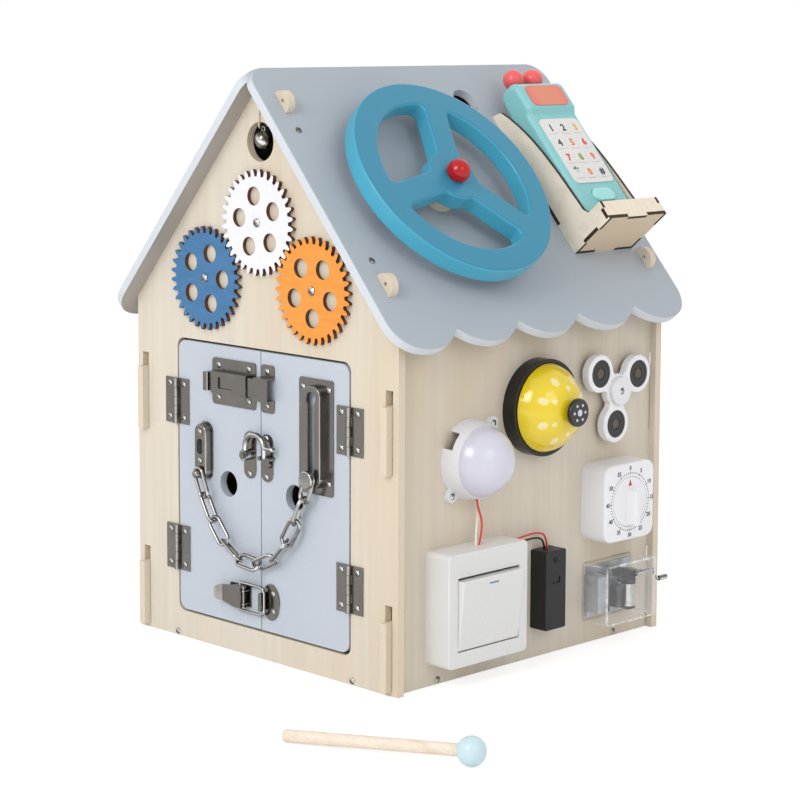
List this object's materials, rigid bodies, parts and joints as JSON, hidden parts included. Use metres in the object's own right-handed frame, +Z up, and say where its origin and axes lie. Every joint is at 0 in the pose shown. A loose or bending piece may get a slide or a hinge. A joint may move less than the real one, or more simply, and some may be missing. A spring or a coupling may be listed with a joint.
{
  "type": "activity house",
  "caption": "Toy activity house of plywood with doors, latches, chain, gears, steering wheel, toy phone, lamp, switch, bell, spinner, timer, music box and mallet.",
  "frame": {"origin": "centre of the house's square footprint on the ground", "axes": "+Z up, -Y out of the doors' side, +X out of the wall with the lamp and switch; millimetres in the source, metres here"},
  "size_m": [0.4758, 0.449, 0.4577],
  "materials": {
    "ply": "natural plywood, matt",
    "roof_paint": "blue-grey paint, satin",
    "door_paint": "pale grey paint, satin",
    "nickel": "nickel plated, satin",
    "blue_wood": "blue stain, burnt edges",
    "white_wood": "white paint, burnt edges",
    "orange_wood": "orange stain, burnt edges",
    "bell_metal": "nickel plated, polished",
    "wheel_paint": "blue paint, satin",
    "red_gloss": "red, glossy",
    "mint": "mint, matt",
    "keypad_white": "off-white, matt",
    "coral": "coral, matt",
    "white_plastic": "white, semi-gloss",
    "lamp_cover": "white diffusing plastic",
    "lead_plastic": "red, white and black insulation",
    "black_plastic": "black, satin",
    "yellow_metal": "yellow enamel, glossy",
    "spinner_plastic": "white with black ring weights, glossy",
    "clear": "clear plastic",
    "cast_grey": "cast, matt",
    "music_steel": "nickel plated, polished",
    "mallet_wood": "pale blue ball, natural stick"
  },
  "bodies": {
    "house": {"front_panel": "ply", "back_panel": "ply", "left_side_panel": "ply", "right_side_panel": "ply", "floor_panel": "ply", "left_roof_panel": "roof_paint", "right_roof_panel": "roof_paint", "house_screws": "nickel", "frame_hinge_leaves": "nickel", "wheel_spacer": "ply", "wheel_cap": "red_gloss", "phone_stand": "ply", "lamp_base": "white_plastic", "lamp_dome": "lamp_cover", "switch_box": "white_plastic", "leads": "lead_plastic", "battery_case": "black_plastic", "call_bell_base": "black_plastic", "call_bell_dome": "yellow_metal", "spinner_cap": "spinner_plastic", "timer_case": "white_plastic", "music_case": "clear", "music_frame": "cast_grey"},
    "left_door": {"left_door": "door_paint", "left_door_hinge_leaves": "nickel", "left_door_screws": "nickel", "bolt_plate": "nickel", "hook_plate": "nickel", "toggle_base": "nickel", "chain_anchor": "nickel", "chain_links": "nickel"},
    "right_door": {"right_door": "door_paint", "right_door_hinge_leaves": "nickel", "right_door_screws": "nickel", "bolt_keeper": "nickel", "hook_catch": "nickel", "toggle_strike": "nickel", "chain_track": "nickel"},
    "bolt_bar": {"bolt_bar": "nickel"},
    "hook_arm": {"hook_arm": "nickel"},
    "toggle_lever": {"toggle_lever": "nickel"},
    "toggle_loop": {"toggle_loop": "nickel"},
    "chain_slider": {"chain_slider": "nickel"},
    "gear_white": {"gear_white": "white_wood"},
    "gear_blue": {"gear_blue": "blue_wood"},
    "gear_orange": {"gear_orange": "orange_wood"},
    "jingle_bell": {"jingle_bell": "bell_metal"},
    "steering_wheel": {"steering_wheel": "wheel_paint"},
    "phone": {"phone_body": "mint", "phone_keypad": "keypad_white", "phone_trim": "coral"},
    "phone_home_button": {"phone_home_button": "mint"},
    "switch_rocker": {"switch_rocker": "white_plastic"},
    "call_bell_button": {"call_bell_button": "black_plastic"},
    "spinner": {"spinner_body": "spinner_plastic"},
    "timer_knob": {"timer_knob": "white_plastic"},
    "music_crank": {"music_crank": "music_steel"},
    "music_cylinder": {"music_cylinder": "music_steel"},
    "battery_cover": {"battery_cover": "black_plastic"},
    "mallet": {"mallet": "mallet_wood"}
  },
  "joints": [
    {"name": "left_door_hinge", "type": "hinge", "parent": "house", "child": "left_door", "pos_m": [-0.0997, -0.1523, 0.1325], "axis": [0, 0, -1], "range_deg": [0, 110], "deforming": ["chain_links"]},
    {"name": "right_door_hinge", "type": "hinge", "parent": "house", "child": "right_door", "pos_m": [0.0997, -0.1523, 0.1325], "axis": [0, 0, 1], "range_deg": [0, 110], "deforming": ["chain_links"]},
    {"name": "bolt_slide", "type": "slide", "parent": "left_door", "child": "bolt_bar", "axis": [-1, 0, 0], "range_m": [0, 0.02]},
    {"name": "hook_swing", "type": "hinge", "parent": "left_door", "child": "hook_arm", "pos_m": [-0.0122, -0.1556, 0.16], "axis": [0, -1, 0], "range_deg": [0, 100]},
    {"name": "toggle_swing", "type": "hinge", "parent": "left_door", "child": "toggle_lever", "pos_m": [-0.016, -0.1548, 0.047], "axis": [0, 0, 1], "range_deg": [0, 90]},
    {"name": "toggle_loop_swing", "type": "hinge", "parent": "toggle_lever", "child": "toggle_loop", "pos_m": [-0.021, -0.154, 0.047], "axis": [0, 0, 1], "range_deg": [-80, 0]},
    {"name": "chain_slider_slide", "type": "slide", "parent": "right_door", "child": "chain_slider", "axis": [0, 0, 1], "range_m": [0, 0.06], "deforming": ["chain_links"]},
    {"name": "white_gear_spin", "type": "hinge", "parent": "house", "child": "gear_white", "pos_m": [0, -0.1529, 0.3405], "axis": [0, 1, 0], "continuous": true},
    {"name": "blue_gear_spin", "type": "hinge", "parent": "house", "child": "gear_blue", "pos_m": [-0.0615, -0.1529, 0.2933], "axis": [0, 1, 0], "continuous": true},
    {"name": "orange_gear_spin", "type": "hinge", "parent": "house", "child": "gear_orange", "pos_m": [0.0615, -0.1529, 0.2933], "axis": [0, 1, 0], "continuous": true},
    {"name": "bell_swing", "type": "hinge", "parent": "house", "child": "jingle_bell", "pos_m": [0, -0.14675, 0.4264], "axis": [0, 1, 0], "range_deg": [-10, 10]},
    {"name": "wheel_spin", "type": "hinge", "parent": "house", "child": "steering_wheel", "pos_m": [0.09895, -0.0454, 0.37269], "axis": [0.7598, 0, 0.6501], "continuous": true},
    {"name": "phone_slide", "type": "slide", "parent": "house", "child": "phone", "axis": [-0.6501, 0, 0.7598], "range_m": [0, 0.06]},
    {"name": "home_button_press", "type": "slide", "parent": "phone", "child": "phone_home_button", "axis": [-0.7598, 0, -0.6501], "range_m": [0, 0.0015], "stiffness_N_per_m": 300, "springref_m": -0.001},
    {"name": "rocker_tip", "type": "hinge", "parent": "house", "child": "switch_rocker", "pos_m": [0.1652, -0.072, 0.057], "axis": [0, 1, 0], "range_deg": [0, 12.8]},
    {"name": "call_button_press", "type": "slide", "parent": "house", "child": "call_bell_button", "axis": [-1, 0, 0], "range_m": [0, 0.0026], "stiffness_N_per_m": 400, "springref_m": -0.001},
    {"name": "spinner_spin", "type": "hinge", "parent": "house", "child": "spinner", "pos_m": [0.151, 0.0919, 0.2027], "axis": [1, 0, 0], "continuous": true},
    {"name": "timer_turn", "type": "hinge", "parent": "house", "child": "timer_knob", "pos_m": [0.17, 0.091, 0.1152], "axis": [-1, 0, 0], "range_deg": [0, 330]},
    {"name": "crank_turn", "type": "hinge", "parent": "house", "child": "music_crank", "pos_m": [0.1641, 0.12, 0.0542], "axis": [0, 1, 0], "continuous": true},
    {"name": "cylinder_turn", "type": "hinge", "parent": "house", "child": "music_cylinder", "pos_m": [0.1543, 0.108, 0.035], "axis": [0, 0, 1], "continuous": true},
    {"name": "battery_cover_slide", "type": "slide", "parent": "house", "child": "battery_cover", "axis": [0, 0, 1], "range_m": [0, 0.04]},
    {"name": "mallet_lift", "type": "slide", "parent": "house", "child": "mallet", "axis": [0, 0, 1], "range_m": [0, 0.15]}
  ],
  "couplings": [
    {"joint": "toggle_loop_swing", "follows": "toggle_swing", "ratio": -0.87},
    {"joint": "blue_gear_spin", "follows": "white_gear_spin", "ratio": -1},
    {"joint": "orange_gear_spin", "follows": "white_gear_spin", "ratio": -1},
    {"joint": "cylinder_turn", "follows": "crank_turn", "ratio": 0.125}
  ]
}
